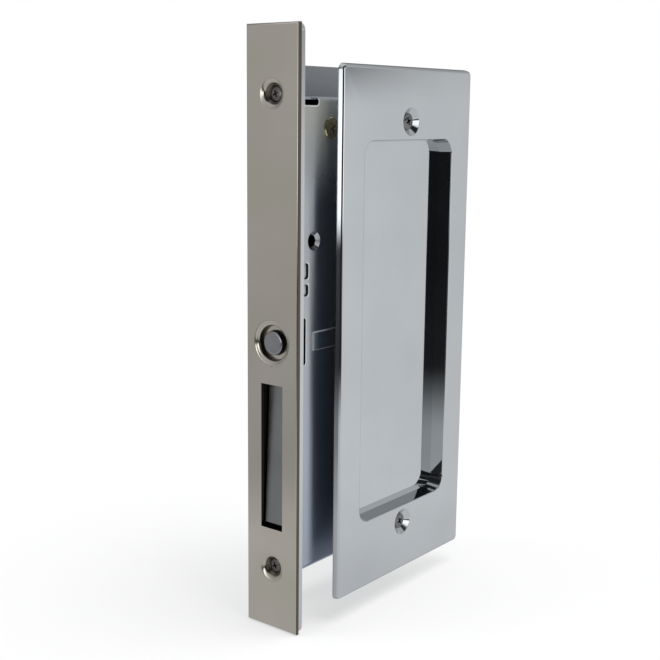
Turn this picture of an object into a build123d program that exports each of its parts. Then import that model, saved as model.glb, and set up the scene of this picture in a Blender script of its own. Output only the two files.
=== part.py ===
import os
from math import cos, radians, sin

from build123d import *

# A pocket-door lock set: a trim plate over the forend of a mortise case, with a push button
# and a swing-out edge pull, and a flush pull for each side of the door.
# Sizes are in millimetres. X runs into the door from its edge, Y across the door, Z up.
# The origin is the middle of the forend's back face, which seats on the door's edge.

# Edge plates
plate_width = 25.4
plate_height = 232.0
trim_thickness = 1.5
trim_edge = 0.6
forend_thickness = 2.0
forend_corner = 3.0

# Screws of the edge plates, measured from the plate's ends
trim_screw_end = 25.0
trim_screw_radius = 2.1
trim_sink_radius = 5.5
trim_seat_radius = 3.7
trim_head_sunk = 1.9
trim_screw_short = 0.2
door_screw_end = 11.0
door_screw_radius = 2.5
door_sink_radius = 4.3
thread_gap = 0.05
cross_length = 4.6
cross_width = 1.0
cross_depth = 1.3
trim_cross_depth = 0.9

# Push button and its bezel
button_z = -1.5
button_radius = 4.9
button_sunk = 0.7
button_dome = 0.4
button_edge = 0.5
button_gap = 0.05
button_travel = 3.0
button_flange_radius = 5.9
button_flange = 1.4
spring_solid = 1.55
stem_radius = 2.5
stem_end = 9.0
stem_tip = 1.4
bezel_radius = 8.9
bezel_gap = 0.1
bezel_sunk = 0.15
bezel_groove = 0.75
bezel_groove_radius = 8.0
bezel_bead_radius = 7.1
bezel_well_radius = 6.1
bezel_well_edge = 0.9
bezel_ledge = 0.8
bezel_neck_radius = 7.0

# Slot and edge pull; the pull's top lies deeper in the slot than its foot
slot_width = 10.7
slot_top = -17.6
slot_bottom = -75.2
slot_relief = 3.3
bar_side_gap = 0.35
bar_top_gap = 1.0
bar_foot_gap = 1.3
bar_depth_top = 4.0
bar_depth_foot = 1.6
bar_thickness = 4.5
bar_edge = 0.5
pivot_x = 5.5
pivot_rise = 6.4
pivot_boss = 4.2
pin_radius = 1.5
running_gap = 0.05
tail_length = 8.5
tail_above = 1.5
tail_below = 2.0
tail_width = 4.0
swing_angle = 45.0

# Catch lever
lever_pin_x = 12.0
lever_pin_rise = 16.5
lever_eye = 3.5
lever_thickness = 2.0
lever_pad = 4.0
lever_arm = 4.0
contact_gap = 0.05
nose_hold = 1.0
nose_gap = 0.8
nose_height = 2.4

# Bracket inside the case
bracket_sheet = 1.0
bracket_gap = 0.15
bracket_fit = 0.05
bracket_top = 31.0
guide_sheet = 1.2
tab_x = 4.3
tab_width = 2.8
tab_upper_z = 26.1
tab_upper_height = 5.7
tab_lower_z = 18.9
tab_lower_height = 4.2
tab_gap = 0.15
tab_round = 1.2
tab_sunk = 1.05

# Folded case
case_sheet = 1.2
case_room = 2.6
case_top_inset = 12.2
case_foot_inset = 14.9
case_behind = 19.5
case_corner = 4.0
case_bend = 2.0
case_screw_radius = 1.5
case_head_radius = 4.1
case_head_height = 0.7
case_post_radius = 3.0
case_stub_radius = 2.0
case_screw_front_x = 18.5
case_screw_mid = 22.5
case_screw_rear = 11.5
case_screw_top = 11.5
case_screw_bottom = 8.2
dimple_x = 9.0
dimple_z = 37.1
dimple_radius = 3.6
dimple_slope = 1.4
guide_slot_x = 3.6
guide_slot_width = 1.7
guide_slot_top = 8.4
guide_slot_bottom = -9.6
emboss_x = 8.3
emboss_length = 14.2
emboss_z = -1.2
emboss_height = 7.4
emboss_rise = 0.7
relief_x = 7.0
relief_drop = 1.9
relief_length = 8.4
relief_height = 2.8
rivet_radius = 1.6
rivet_head = 2.6
rivet_rise = 1.1
rivet_from_top = 28.3
rivet_from_button = 27.5
rivet_from_foot = 8.2

# Flush pulls
backset = 63.5
pull_width = 88.9
pull_height = 209.6
pull_z = -2.3
pull_corner = 2.5
pull_edge = 2.0
flange = 2.5
cup_side = 14.0
cup_from_screw = 7.2
cup_depth = 5.9
cup_clear = 1.1
cup_wall = 1.0
cup_corner = 6.0
cup_draft = 8.0
cup_floor_fillet = 1.5
cup_lip = 0.6
pull_screw_end = 21.3
pull_sink_radius = 5.5
pull_hole_radius = 3.25
pull_head_sunk = 1.6
pull_screw_radius = 2.0
sleeve_radius = 3.1
sleeve_clear = 0.45
sleeve_short = 2.5

# Positions that follow from the sizes above
trim_front = -(forend_thickness + trim_thickness)
trim_screw_offset = plate_height / 2 - trim_screw_end
door_screw_offset = plate_height / 2 - door_screw_end
bar_width = slot_width - 2 * bar_side_gap
bracket_in = bar_width / 2 + bracket_gap
bracket_out = bracket_in + bracket_sheet
case_in = bracket_out + bracket_fit + case_room
case_half = case_in + case_sheet
cup_back = case_half + cup_clear
pull_front = cup_back + cup_wall + cup_depth
flange_back = pull_front - flange
pull_x = backset + trim_front
pull_screw_offset = pull_height / 2 - pull_screw_end
cup_end = pull_screw_end + cup_from_screw
case_top = pull_z + pull_height / 2 - case_top_inset
case_bottom = pull_z - pull_height / 2 + case_foot_inset
case_depth = pull_x + case_behind
screw_zs = (pull_z + pull_screw_offset, pull_z - pull_screw_offset)
case_mid_z = (case_top + case_bottom) / 2
case_height = case_top - case_bottom
rivet_zs = (case_top - rivet_from_top, button_z + rivet_from_button, case_bottom + rivet_from_foot)
slot_mid = (slot_top + slot_bottom) / 2
slot_length = slot_top - slot_bottom
bar_top = slot_top - bar_top_gap
bar_foot = slot_bottom + bar_foot_gap
pivot_z = bar_foot + pivot_rise
tail_tip = pivot_x + tail_length
lever_pin_z = button_z + lever_pin_rise
lever_face = stem_end + contact_gap
arm_front = tail_tip + bar_side_gap
nose_x = tail_tip - nose_hold
nose_z = pivot_z + tail_above + nose_gap
swing = radians(swing_angle)
flange_front = running_gap
flange_rear = flange_front + button_flange
guide_x = flange_rear + button_travel + spring_solid
stop_out = tail_above + pin_radius + running_gap
stop_along = tail_length - pin_radius
stop_x = pivot_x + stop_along * cos(swing) - stop_out * sin(swing)
stop_z = pivot_z + stop_along * sin(swing) + stop_out * cos(swing)
case_screws_at = (
    (case_screw_front_x, case_top - case_screw_top),
    (pull_x + case_screw_rear, case_top - case_screw_top),
    (pull_x - case_screw_mid, case_bottom + case_screw_bottom),
    (pull_x + case_screw_rear, case_bottom + case_screw_bottom),
)

os.makedirs("parts", exist_ok=True)

# Trim plate: the finished face on the door's edge, with eased edges and dimpled screw holes
with BuildPart() as trim_plate:
    with BuildSketch(Plane.YZ.offset(trim_front)):
        Rectangle(plate_width, plate_height)
    extrude(amount=trim_thickness)
    fillet(trim_plate.faces().sort_by(Axis.X)[0].edges(), trim_edge)
    with BuildSketch(Plane.YZ.offset(trim_front)):
        with Locations((0, slot_mid)):
            Rectangle(slot_width, slot_length)
        with Locations((0, button_z)):
            Circle(bezel_radius + bezel_gap)
    extrude(amount=trim_thickness, mode=Mode.SUBTRACT)
    for z in (trim_screw_offset, -trim_screw_offset):
        with BuildSketch(Plane((0, 0, z), x_dir=(1, 0, 0), z_dir=(0, -1, 0))):
            with BuildLine():
                TangentArc(
                    (trim_front, trim_sink_radius),
                    (trim_front + trim_thickness, trim_seat_radius),
                    tangent=(0, -1),
                )
                Polyline(
                    (trim_front + trim_thickness, trim_seat_radius),
                    (trim_front + trim_thickness, 0),
                    (trim_front, 0),
                    (trim_front, trim_sink_radius),
                )
            make_face()
        revolve(axis=Axis((0, 0, z), (1, 0, 0)), mode=Mode.SUBTRACT)
trim_plate.part.label = "trim_plate"

# Forend: the structural plate behind the trim, with the door screws' countersunk holes
neck_hole = bezel_neck_radius + thread_gap
tap_radius = trim_screw_radius + thread_gap
with BuildPart() as forend_plate:
    with BuildSketch(Plane.YZ.offset(-forend_thickness)):
        RectangleRounded(plate_width, plate_height, forend_corner)
        with Locations((0, slot_mid)):
            Rectangle(slot_width, slot_length + 2 * slot_relief, mode=Mode.SUBTRACT)
        with Locations((0, button_z)):
            Circle(neck_hole, mode=Mode.SUBTRACT)
        with Locations(*[(0, z) for z in rivet_zs]):
            Circle(rivet_radius + thread_gap, mode=Mode.SUBTRACT)
    extrude(amount=forend_thickness)
    for z in (trim_screw_offset, -trim_screw_offset):
        with BuildSketch(Plane((0, 0, z), x_dir=(1, 0, 0), z_dir=(0, -1, 0))):
            with BuildLine():
                Polyline(
                    (-forend_thickness, 0),
                    (-forend_thickness, trim_seat_radius),
                    (trim_seat_radius - tap_radius - forend_thickness, tap_radius),
                    (0, tap_radius),
                    (0, 0),
                    close=True,
                )
            make_face()
        revolve(axis=Axis((0, 0, z), (1, 0, 0)), mode=Mode.SUBTRACT)
    for z in (door_screw_offset, -door_screw_offset):
        with BuildSketch(Plane((0, 0, z), x_dir=(1, 0, 0), z_dir=(0, -1, 0))):
            with BuildLine():
                Polyline(
                    (-forend_thickness, 0),
                    (-forend_thickness, door_sink_radius),
                    (door_sink_radius - door_screw_radius - forend_thickness, door_screw_radius),
                    (0, door_screw_radius),
                    (0, 0),
                    close=True,
                )
            make_face()
        revolve(axis=Axis((0, 0, z), (1, 0, 0)), mode=Mode.SUBTRACT)
forend_plate.part.label = "forend_plate"

# Two countersunk machine screws that hold the trim to the forend
head_x = trim_front + trim_head_sunk
head_radius = trim_seat_radius + trim_thickness - trim_head_sunk - thread_gap
with BuildPart() as trim_screws:
    for z in (trim_screw_offset, -trim_screw_offset):
        with BuildSketch(Plane((0, 0, z), x_dir=(1, 0, 0), z_dir=(0, -1, 0))):
            with BuildLine():
                Polyline(
                    (head_x, 0),
                    (head_x, head_radius),
                    (head_x + head_radius - trim_screw_radius, trim_screw_radius),
                    (-trim_screw_short, trim_screw_radius),
                    (-trim_screw_short, 0),
                    close=True,
                )
            make_face()
        revolve(axis=Axis((0, 0, z), (1, 0, 0)))
    with BuildSketch(Plane.YZ.offset(head_x)):
        with Locations((0, trim_screw_offset), (0, -trim_screw_offset)):
            Rectangle(cross_length, cross_width, rotation=20)
            Rectangle(cross_width, cross_length, rotation=20)
    extrude(amount=trim_cross_depth, taper=12, mode=Mode.SUBTRACT)
trim_screws.part.label = "trim_screws"

# Bezel: a beaded ring let into the trim, with a well round the button and a ledge that guides it
bezel_front = trim_front + bezel_sunk
bezel_bore = button_radius + button_gap
with BuildPart() as button_bezel:
    with BuildSketch(Plane((0, 0, button_z), x_dir=(1, 0, 0), z_dir=(0, -1, 0))):
        with BuildLine():
            ThreePointArc(
                (bezel_front, bezel_radius),
                (bezel_front + bezel_groove, bezel_groove_radius),
                (bezel_front, bezel_bead_radius),
            )
            TangentArc(
                (bezel_front, bezel_bead_radius),
                (bezel_front + bezel_well_edge, bezel_well_radius),
                tangent=(0, -1),
            )
            Polyline(
                (bezel_front + bezel_well_edge, bezel_well_radius),
                (-bezel_ledge, bezel_well_radius),
                (-bezel_ledge, bezel_bore),
                (0, bezel_bore),
                (0, bezel_neck_radius),
                (-forend_thickness, bezel_neck_radius),
                (-forend_thickness, bezel_radius),
                (bezel_front, bezel_radius),
            )
        make_face()
    revolve(axis=Axis((0, 0, button_z), (1, 0, 0)))
button_bezel.part.label = "button_bezel"

# Push button: domed face, retaining flange behind the bezel, stem to the catch lever
button_face = trim_front + button_sunk
with BuildPart() as push_button:
    with BuildSketch(Plane((0, 0, button_z), x_dir=(1, 0, 0), z_dir=(0, -1, 0))):
        with BuildLine():
            Polyline(
                (button_face + button_dome, button_radius - button_edge),
                (button_face + button_dome + button_edge, button_radius),
                (flange_front, button_radius),
                (flange_front, button_flange_radius),
                (flange_rear, button_flange_radius),
                (flange_rear, stem_radius),
                (stem_end - stem_tip, stem_radius),
                (stem_end - stem_tip / 4, stem_radius * 0.6),
                (stem_end, stem_radius / 6),
                (stem_end, 0),
                (button_face, 0),
            )
            ThreePointArc(
                (button_face, 0),
                (button_face + button_dome / 4, (button_radius - button_edge) / 2),
                (button_face + button_dome, button_radius - button_edge),
            )
        make_face()
    revolve(axis=Axis((0, 0, button_z), (1, 0, 0)))
push_button.part.label = "push_button"

# Return spring of the button, coiled round the stem
coil_wire = 0.35
coil_radius = (stem_radius + button_flange_radius) / 2 - coil_wire
coil_start = flange_rear + coil_wire + running_gap
coil_length = guide_x - running_gap - coil_wire - coil_start
with BuildPart() as button_spring:
    with BuildLine() as coil_path:
        Helix(coil_length / 2.5, coil_length, coil_radius, (coil_start, 0, button_z), (1, 0, 0))
    with BuildSketch(Plane(origin=coil_path.line @ 0, z_dir=coil_path.line % 0)):
        RegularPolygon(coil_wire, 4)
    sweep()
button_spring.part.label = "button_spring"

# Edge pull: a flat finger bar with a pivot boss behind its foot and a tail for the catch
foot_front = trim_front + bar_depth_foot
top_front = trim_front + bar_depth_top
with BuildPart() as edge_pull:
    with BuildSketch(Plane.XZ.offset(-bar_width / 2)):
        with BuildLine():
            Polyline(
                (foot_front, bar_foot),
                (top_front, bar_top),
                (top_front + bar_thickness, bar_top),
                (foot_front + bar_thickness, bar_foot),
                close=True,
            )
        make_face()
    extrude(amount=bar_width)
    front_edges = edge_pull.faces().sort_by(Axis.X)[0].edges()
    fillet(front_edges, bar_edge)
    with BuildSketch(Plane.XZ.offset(-bar_width / 2)):
        with Locations((pivot_x, pivot_z)):
            Circle(pivot_boss)
        with Locations((foot_front + bar_thickness / 2, pivot_z - pivot_rise / 4)):
            Rectangle(bar_thickness / 2, pivot_rise)
        with Locations((foot_front + bar_thickness / 2, pivot_z + pivot_rise)):
            Rectangle(bar_thickness / 2, pivot_rise)
        make_hull()
    extrude(amount=bar_width)
    with BuildSketch(Plane.XZ.offset(-tail_width / 2)):
        with BuildLine():
            Polyline(
                (pivot_x, pivot_z + tail_above),
                (tail_tip, pivot_z + tail_above),
                (tail_tip, pivot_z - tail_below / 2),
                (pivot_x, pivot_z - 1.5 * tail_below),
                close=True,
            )
        make_face()
    extrude(amount=tail_width)
    with BuildSketch(Plane.XZ.offset(-bar_width / 2)):
        with Locations((pivot_x, pivot_z)):
            Circle(pivot_boss + running_gap)
    extrude(amount=bar_width / 2 - tail_width / 2, mode=Mode.SUBTRACT)
    with BuildSketch(Plane.XZ.offset(-bar_width / 2)):
        with Locations((pivot_x, pivot_z)):
            Circle(pin_radius + running_gap)
    extrude(amount=bar_width, mode=Mode.SUBTRACT)
edge_pull.part.label = "edge_pull"

# Cross pins riveted in the bracket: the pull's pivot, its stop and the catch's pivot
with BuildPart() as pull_pin:
    with BuildSketch(Plane.XZ.offset(-bracket_out)):
        with Locations((pivot_x, pivot_z)):
            Circle(pin_radius)
    extrude(amount=2 * bracket_out)
pull_pin.part.label = "pull_pin"

with BuildPart() as stop_pin:
    with BuildSketch(Plane.XZ.offset(-bracket_out)):
        with Locations((stop_x, stop_z)):
            Circle(pin_radius)
    extrude(amount=2 * bracket_out)
stop_pin.part.label = "stop_pin"

with BuildPart() as catch_pin:
    with BuildSketch(Plane.XZ.offset(-bracket_out)):
        with Locations((lever_pin_x, lever_pin_z)):
            Circle(pin_radius)
    extrude(amount=2 * bracket_out)
catch_pin.part.label = "catch_pin"

# Catch lever: hangs from its pin, is pushed by the button's stem, and its nose bars the tail
mid_z = (button_z + nose_z) / 2
with BuildPart() as catch_lever:
    with BuildSketch(Plane.XZ.offset(-lever_thickness / 2)):
        with BuildLine():
            Polyline(
                (lever_pin_x - lever_eye, lever_pin_z),
                (lever_face, button_z + lever_pad),
                (lever_face, button_z - lever_pad),
                (arm_front, mid_z),
                (arm_front, nose_z + nose_height),
                (nose_x, nose_z + nose_height / 2),
                (nose_x, nose_z),
                (arm_front + lever_arm, nose_z),
                (arm_front + lever_arm, mid_z),
                (lever_pin_x + lever_eye, lever_pin_z),
                close=True,
            )
        make_face()
        with Locations((lever_pin_x, lever_pin_z)):
            Circle(lever_eye)
            Circle(pin_radius + running_gap, mode=Mode.SUBTRACT)
    extrude(amount=lever_thickness)
catch_lever.part.label = "catch_lever"

# Torsion springs on the two pivots
turn_wire = 0.35
turn_radius = pin_radius + turn_wire + 4 * running_gap
pull_coil_start = tail_width / 2 + turn_wire + 3 * running_gap
pull_coil_length = bracket_in - turn_wire - running_gap - pull_coil_start
with BuildPart() as pull_spring:
    with BuildLine() as pull_coil:
        Helix(
            pull_coil_length / 2.5,
            pull_coil_length,
            turn_radius,
            (pivot_x, pull_coil_start, pivot_z),
            (0, 1, 0),
        )
    with BuildSketch(Plane(origin=pull_coil.line @ 0, z_dir=pull_coil.line % 0)):
        RegularPolygon(turn_wire, 4)
    sweep()
pull_spring.part.label = "pull_spring"

catch_coil_start = lever_thickness / 2 + turn_wire + 3 * running_gap
catch_coil_length = bracket_in - turn_wire - running_gap - catch_coil_start
with BuildPart() as catch_spring:
    with BuildLine() as catch_coil:
        Helix(
            catch_coil_length / 2.5,
            catch_coil_length,
            turn_radius,
            (lever_pin_x, catch_coil_start, lever_pin_z),
            (0, 1, 0),
        )
    with BuildSketch(Plane(origin=catch_coil.line @ 0, z_dir=catch_coil.line % 0)):
        RegularPolygon(turn_wire, 4)
    sweep()
catch_spring.part.label = "catch_spring"

# Bracket: two cheeks joined by the guide that carries the button's stem, tabbed into the case
cheek_front = case_sheet + running_gap
cheek_rear = lever_pin_x + 2.5 * pin_radius
foot_rear = stop_x + 2.5 * pin_radius
foot_top = stop_z + 2.5 * pin_radius
with BuildPart() as pull_bracket:
    with BuildSketch(Plane.XZ.offset(-bracket_out)):
        with BuildLine():
            Polyline(
                (cheek_front, bar_foot),
                (foot_rear, bar_foot),
                (foot_rear, foot_top),
                (lever_face, mid_z),
                (cheek_rear, button_z),
                (cheek_rear, lever_pin_z + 2.5 * pin_radius),
                (tab_x + tab_width, bracket_top),
                (tab_x - tab_width / 2, bracket_top),
                (tab_x - tab_width / 2, button_z + 2 * button_flange_radius),
                (guide_x, button_z + 1.5 * button_flange_radius),
                (guide_x, mid_z),
                (cheek_front, foot_top),
                close=True,
            )
        make_face()
        with Locations((pivot_x, pivot_z), (stop_x, stop_z), (lever_pin_x, lever_pin_z)):
            Circle(pin_radius, mode=Mode.SUBTRACT)
    extrude(amount=2 * bracket_out)
    with BuildSketch(Plane.XZ.offset(-bracket_in)):
        Rectangle(4 * case_depth, 4 * case_height)
    extrude(amount=2 * bracket_in, mode=Mode.SUBTRACT)
    with BuildSketch(Plane.YZ.offset(guide_x)):
        with Locations((0, button_z)):
            Rectangle(2 * bracket_in, 4 * stem_radius)
            Circle(stem_radius + running_gap, mode=Mode.SUBTRACT)
    extrude(amount=guide_sheet)
    with BuildSketch(Plane.XZ.offset(bracket_out)):
        with Locations((tab_x, tab_upper_z)):
            RectangleRounded(tab_width, tab_upper_height, tab_round)
        with Locations((tab_x, tab_lower_z)):
            RectangleRounded(tab_width, tab_lower_height, tab_round)
    extrude(amount=case_half - tab_sunk - bracket_out)
pull_bracket.part.label = "pull_bracket"

# Case pan: one folded sheet, open on the far side, with its pressed and pierced details
with BuildPart() as case_pan:
    with BuildSketch(Plane.XZ.offset(case_half)):
        with Locations((case_depth / 2, case_mid_z)):
            RectangleRounded(case_depth, case_height, case_corner)
    extrude(amount=-(case_half + case_in))
    fillet(case_pan.faces().sort_by(Axis.Y)[0].edges(), case_bend)
    with BuildSketch(Plane.XZ.offset(case_in)):
        with Locations((case_depth / 2, case_mid_z)):
            RectangleRounded(
                case_depth - 2 * case_sheet, case_height - 2 * case_sheet, case_corner - case_sheet
            )
    extrude(amount=-2 * case_in, mode=Mode.SUBTRACT)
    with BuildSketch(Plane.YZ):
        with Locations((0, slot_mid)):
            Rectangle(slot_width, slot_length + 2 * slot_relief)
        with Locations((0, button_z)):
            Circle(button_flange_radius + case_sheet)
        with Locations(*[(0, z) for z in rivet_zs]):
            Circle(rivet_radius + thread_gap)
    extrude(amount=case_sheet, mode=Mode.SUBTRACT)
    with BuildSketch(Plane.XZ.offset(case_half)):
        with Locations((emboss_x + emboss_length / 2, emboss_z)):
            Rectangle(emboss_length, emboss_height)
    extrude(amount=emboss_rise, taper=30)
    with BuildSketch(Plane.XZ.offset(case_half)):
        with Locations((tab_x, tab_upper_z)):
            RectangleRounded(tab_width + 2 * tab_gap, tab_upper_height + 2 * tab_gap, tab_round + tab_gap)
        with Locations((tab_x, tab_lower_z)):
            RectangleRounded(tab_width + 2 * tab_gap, tab_lower_height + 2 * tab_gap, tab_round + tab_gap)
        with Locations((guide_slot_x, (guide_slot_top + guide_slot_bottom) / 2)):
            SlotOverall(guide_slot_top - guide_slot_bottom, guide_slot_width, rotation=90)
        with Locations((relief_x, case_top - relief_drop)):
            SlotOverall(relief_length, relief_height)
        with Locations(*case_screws_at):
            Circle(case_screw_radius + thread_gap)
        with Locations(*[(pull_x, z) for z in screw_zs]):
            Circle(sleeve_radius + sleeve_clear)
    extrude(amount=-case_sheet, mode=Mode.SUBTRACT)
    with BuildSketch(Plane((0, 0, dimple_z), x_dir=(1, 0, 0), z_dir=(0, 0, 1))):
        with BuildLine():
            Polyline(
                (dimple_x, -case_half),
                (dimple_x + dimple_radius, -case_half),
                (dimple_x + dimple_radius - dimple_slope, -case_in),
                (dimple_x, -case_in),
                close=True,
            )
        make_face()
    revolve(axis=Axis((dimple_x, 0, dimple_z), (0, 1, 0)), mode=Mode.SUBTRACT)
case_pan.part.label = "case_pan"

# Case cover: flat plate on the far side, carried by the riveted posts
with BuildPart() as case_cover:
    with BuildSketch(Plane.XZ.offset(-case_half)):
        with Locations((case_depth / 2, case_mid_z)):
            RectangleRounded(case_depth, case_height, case_corner)
        with Locations(*case_screws_at):
            Circle(case_stub_radius + thread_gap, mode=Mode.SUBTRACT)
        with Locations(*[(pull_x, z) for z in screw_zs]):
            Circle(sleeve_radius + sleeve_clear, mode=Mode.SUBTRACT)
    extrude(amount=case_sheet)
case_cover.part.label = "case_cover"

# Tapped posts between the pan and the cover
with BuildPart() as case_posts:
    with BuildSketch(Plane.XZ.offset(-case_in)):
        with Locations(*case_screws_at):
            Circle(case_post_radius)
    extrude(amount=2 * case_in)
    with BuildSketch(Plane.XZ.offset(-case_half)):
        with Locations(*case_screws_at):
            Circle(case_stub_radius)
    extrude(amount=case_sheet)
    with BuildSketch(Plane.XZ.offset(case_in)):
        with Locations(*case_screws_at):
            Circle(case_screw_radius + thread_gap)
    extrude(amount=-1.5 * case_in, mode=Mode.SUBTRACT)
case_posts.part.label = "case_posts"

# Plated pan-head screws that close the case
with BuildPart() as case_screws:
    with BuildSketch(Plane.XZ.offset(case_half)):
        with Locations(*case_screws_at):
            Circle(case_head_radius)
    extrude(amount=case_head_height)
    chamfer(case_screws.faces().group_by(Axis.Y)[0].edges(), case_head_height / 2)
    with BuildSketch(Plane.XZ.offset(case_half)):
        with Locations(*case_screws_at):
            Circle(case_screw_radius)
    extrude(amount=-(case_sheet + case_in))
    with BuildSketch(Plane.XZ.offset(case_half + case_head_height)):
        with Locations(*case_screws_at):
            Rectangle(case_head_radius, cross_width, rotation=30)
            Rectangle(cross_width, case_head_radius, rotation=30)
    extrude(amount=-case_head_height * 0.7, taper=12, mode=Mode.SUBTRACT)
case_screws.part.label = "case_screws"

# Rivets that join the pan's front wall to the forend
with BuildPart() as forend_rivets:
    with BuildSketch(Plane.YZ.offset(-forend_thickness)):
        with Locations(*[(0, z) for z in rivet_zs]):
            Circle(rivet_radius)
    extrude(amount=forend_thickness + case_sheet)
    with BuildSketch(Plane.YZ.offset(case_sheet)):
        with Locations(*[(0, z) for z in rivet_zs]):
            Circle(rivet_head)
    extrude(amount=rivet_rise)
    chamfer(forend_rivets.faces().group_by(Axis.X)[-1].edges(), rivet_rise / 2)
forend_rivets.part.label = "forend_rivets"

# Near flush pull: pillowed flange with a drawn, drafted cup
cup_width = pull_width - 2 * cup_side
cup_height = pull_height - 2 * cup_end
with BuildPart() as near_pull:
    with BuildSketch(Plane.XZ.offset(flange_back)):
        with Locations((pull_x, pull_z)):
            RectangleRounded(pull_width, pull_height, pull_corner)
    extrude(amount=flange)
    fillet(near_pull.faces().sort_by(Axis.Y)[0].edges(), pull_edge)
    with BuildSketch(Plane.XZ.offset(flange_back)):
        with Locations((pull_x, pull_z)):
            RectangleRounded(cup_width + 2 * cup_wall, cup_height + 2 * cup_wall, cup_corner + cup_wall)
    extrude(amount=cup_back - flange_back, taper=cup_draft)
    with BuildSketch(Plane.XZ.offset(pull_front)):
        with Locations((pull_x, pull_z)):
            RectangleRounded(cup_width, cup_height, cup_corner)
    extrude(amount=-cup_depth, taper=cup_draft, mode=Mode.SUBTRACT)
    floors = near_pull.faces().filter_by(Axis.Y).filter_by_position(
        Axis.Y, cup_depth - pull_front - cup_wall / 2, cup_depth - pull_front + cup_wall / 2
    )
    fillet(floors.edges(), cup_floor_fillet)
    mouth = near_pull.faces().filter_by(Axis.Y).sort_by(Axis.Y)[0].inner_wires()
    fillet(mouth.edges(), cup_lip)
    for z in screw_zs:
        with BuildSketch(Plane((0, 0, z), x_dir=(1, 0, 0), z_dir=(0, 0, 1))):
            with BuildLine():
                Polyline(
                    (pull_x, -pull_front),
                    (pull_x + pull_sink_radius, -pull_front),
                    (pull_x + pull_hole_radius, pull_sink_radius - pull_hole_radius - pull_front),
                    (pull_x + pull_hole_radius, -flange_back),
                    (pull_x, -flange_back),
                    close=True,
                )
            make_face()
        revolve(axis=Axis((pull_x, 0, z), (0, 1, 0)), mode=Mode.SUBTRACT)
near_pull.part.label = "near_pull"

# Far flush pull: the same pressing on the other side of the door
with BuildPart() as far_pull:
    add(near_pull.part)
    mirror(about=Plane.XZ, mode=Mode.REPLACE)
far_pull.part.label = "far_pull"

# Through-screws from the near pull, and the sleeve nuts that take them from the far pull
screw_face = pull_front - pull_head_sunk
screw_head = pull_sink_radius - pull_head_sunk - thread_gap
sleeve_end = flange_back - sleeve_short
with BuildPart() as pull_screws:
    for z in screw_zs:
        with BuildSketch(Plane((0, 0, z), x_dir=(1, 0, 0), z_dir=(0, 0, 1))):
            with BuildLine():
                Polyline(
                    (pull_x, -screw_face),
                    (pull_x + screw_head, -screw_face),
                    (pull_x + pull_screw_radius, screw_head - pull_screw_radius - screw_face),
                    (pull_x + pull_screw_radius, case_half),
                    (pull_x, case_half),
                    close=True,
                )
            make_face()
        revolve(axis=Axis((pull_x, 0, z), (0, 1, 0)))
    with BuildSketch(Plane.XZ.offset(screw_face)):
        with Locations(*[(pull_x, z) for z in screw_zs]):
            Rectangle(cross_length, cross_width, rotation=25)
            Rectangle(cross_width, cross_length, rotation=25)
    extrude(amount=-cross_depth, taper=12, mode=Mode.SUBTRACT)
pull_screws.part.label = "pull_screws"

with BuildPart() as sleeve_nuts:
    for z in screw_zs:
        with BuildSketch(Plane((0, 0, z), x_dir=(1, 0, 0), z_dir=(0, 0, 1))):
            with BuildLine():
                Polyline(
                    (pull_x, screw_face),
                    (pull_x + screw_head, screw_face),
                    (pull_x + sleeve_radius, screw_face - screw_head + sleeve_radius),
                    (pull_x + sleeve_radius, -sleeve_end),
                    (pull_x + pull_screw_radius + thread_gap, -sleeve_end),
                    (pull_x + pull_screw_radius + thread_gap, flange_back - cross_depth),
                    (pull_x, flange_back - cross_depth),
                    close=True,
                )
            make_face()
        revolve(axis=Axis((pull_x, 0, z), (0, 1, 0)))
    with BuildSketch(Plane.XZ.offset(-screw_face)):
        with Locations(*[(pull_x, z) for z in screw_zs]):
            Rectangle(cross_length, cross_width, rotation=25)
            Rectangle(cross_width, cross_length, rotation=25)
    extrude(amount=cross_depth, taper=12, mode=Mode.SUBTRACT)
sleeve_nuts.part.label = "sleeve_nuts"

export_step(trim_plate.part, "parts/trim_plate.step")
export_step(forend_plate.part, "parts/forend_plate.step")
export_step(trim_screws.part, "parts/trim_screws.step")
export_step(button_bezel.part, "parts/button_bezel.step")
export_step(push_button.part, "parts/push_button.step")
export_step(button_spring.part, "parts/button_spring.step")
export_step(edge_pull.part, "parts/edge_pull.step")
export_step(pull_pin.part, "parts/pull_pin.step")
export_step(stop_pin.part, "parts/stop_pin.step")
export_step(catch_pin.part, "parts/catch_pin.step")
export_step(catch_lever.part, "parts/catch_lever.step")
export_step(pull_spring.part, "parts/pull_spring.step")
export_step(catch_spring.part, "parts/catch_spring.step")
export_step(pull_bracket.part, "parts/pull_bracket.step")
export_step(case_pan.part, "parts/case_pan.step")
export_step(case_cover.part, "parts/case_cover.step")
export_step(case_posts.part, "parts/case_posts.step")
export_step(case_screws.part, "parts/case_screws.step")
export_step(forend_rivets.part, "parts/forend_rivets.step")
export_step(near_pull.part, "parts/near_pull.step")
export_step(far_pull.part, "parts/far_pull.step")
export_step(pull_screws.part, "parts/pull_screws.step")
export_step(sleeve_nuts.part, "parts/sleeve_nuts.step")
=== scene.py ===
from math import cos, radians, sin

import bmesh
import bpy
from mathutils import Matrix, Vector


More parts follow.
